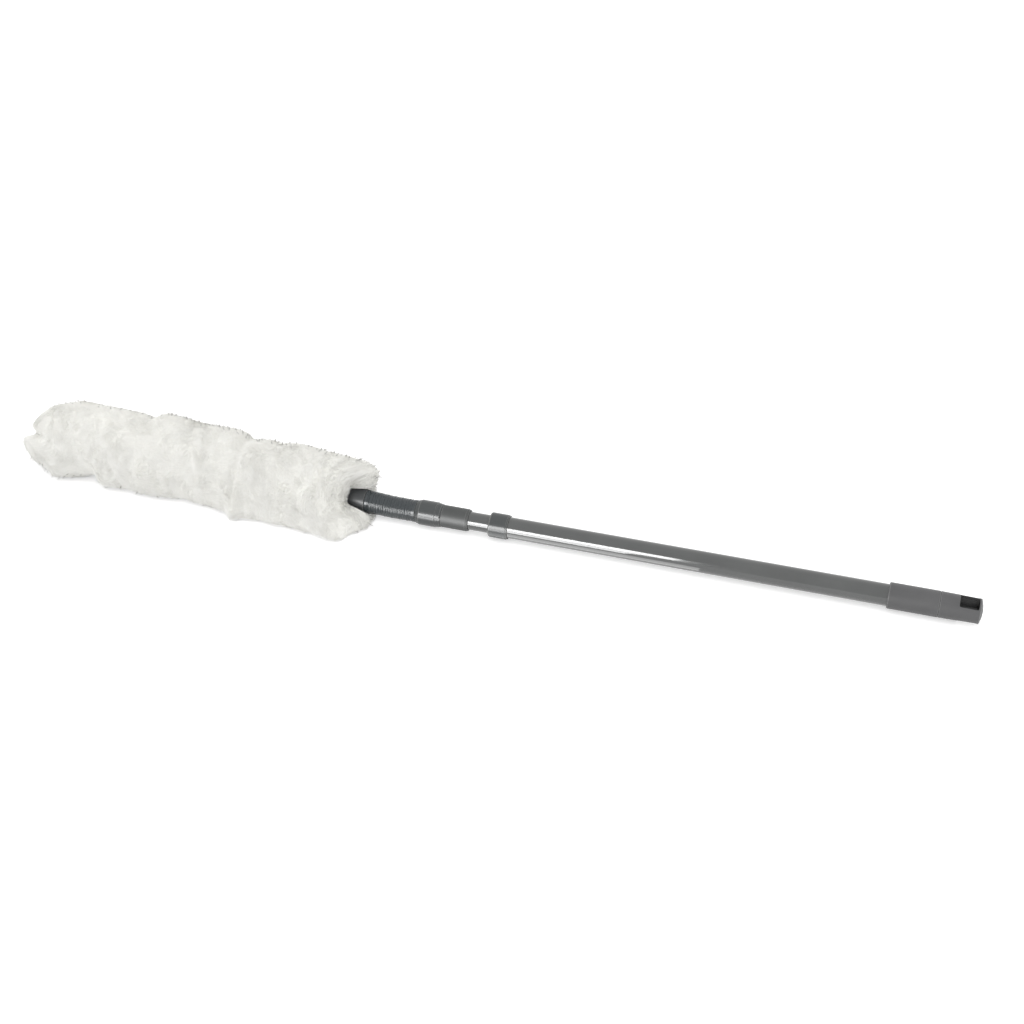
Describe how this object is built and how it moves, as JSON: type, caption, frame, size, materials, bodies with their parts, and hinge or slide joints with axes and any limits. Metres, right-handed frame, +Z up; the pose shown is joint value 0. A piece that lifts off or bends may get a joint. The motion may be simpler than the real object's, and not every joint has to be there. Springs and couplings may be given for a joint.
{
  "type": "extendable duster",
  "caption": "Telescopic twist-lock pole with a hanging window in its cap, a ribbed bendable neck and a long, removable fluffy white microfibre sleeve.",
  "frame": {"origin": "bottom centre of the box round the whole duster, on the surface it lies on", "axes": "+X along the pole towards the hanging cap, the head towards -X; +Z up; the pole's axis is horizontal at z = 0.0131 and y = 0"},
  "size_m": [1.0038, 0.1086, 0.0697],
  "materials": {
    "tube_paint": "gloss",
    "grey_plastic": "satin",
    "ferrule_plastic": "satin",
    "grip_plastic": "satin",
    "lock_plastic": "satin",
    "boot_rubber": "satin",
    "paddle_plastic": "satin",
    "steel": "satin",
    "knit": "matte",
    "hem_elastic": "matte",
    "pile": "matte"
  },
  "bodies": {
    "pole": {"outer_tube": "tube_paint", "tube_collar": "grey_plastic", "grip_sleeve": "grip_plastic", "hanging_cap": "grip_plastic"},
    "lock": {"lock_ring": "lock_plastic"},
    "inner_pole": {"inner_tube": "tube_paint", "lock_core": "lock_plastic", "lock_washer": "steel", "lock_screw": "steel", "tip_adapter": "grey_plastic"},
    "socket": {"head_socket": "grey_plastic", "rear_wire_crimp": "steel", "neck_boot": "boot_rubber", "neck_wire": "steel"},
    "head": {"front_wire_crimp": "steel", "neck_ferrule": "ferrule_plastic", "paddle": "paddle_plastic"},
    "sleeve": {"sleeve_backing": "knit", "sleeve_hem": "hem_elastic", "sleeve_pile": "pile"}
  },
  "joints": [
    {"name": "pole_slide", "type": "slide", "parent": "pole", "child": "lock", "axis": [-1, 0, 0], "range_m": [0, 0.385]},
    {"name": "pole_twist", "type": "hinge", "parent": "lock", "child": "inner_pole", "pos_m": [0, 0, 0.0131], "axis": [1, 0, 0], "range_deg": [0, 60]},
    {"name": "head_pull_off", "type": "slide", "parent": "inner_pole", "child": "socket", "axis": [-1, 0, 0], "range_m": [0, 0.03]},
    {"name": "neck_bend", "type": "hinge", "parent": "socket", "child": "head", "pos_m": [-0.09248, 0, 0.0131], "axis": [0, 1, 0], "range_deg": [-60, 60], "deforming": ["neck_boot", "neck_wire"]},
    {"name": "sleeve_pull_off", "type": "slide", "parent": "head", "child": "sleeve", "axis": [-0.9981, 0, 0.061], "range_m": [0, 0.36]}
  ]
}
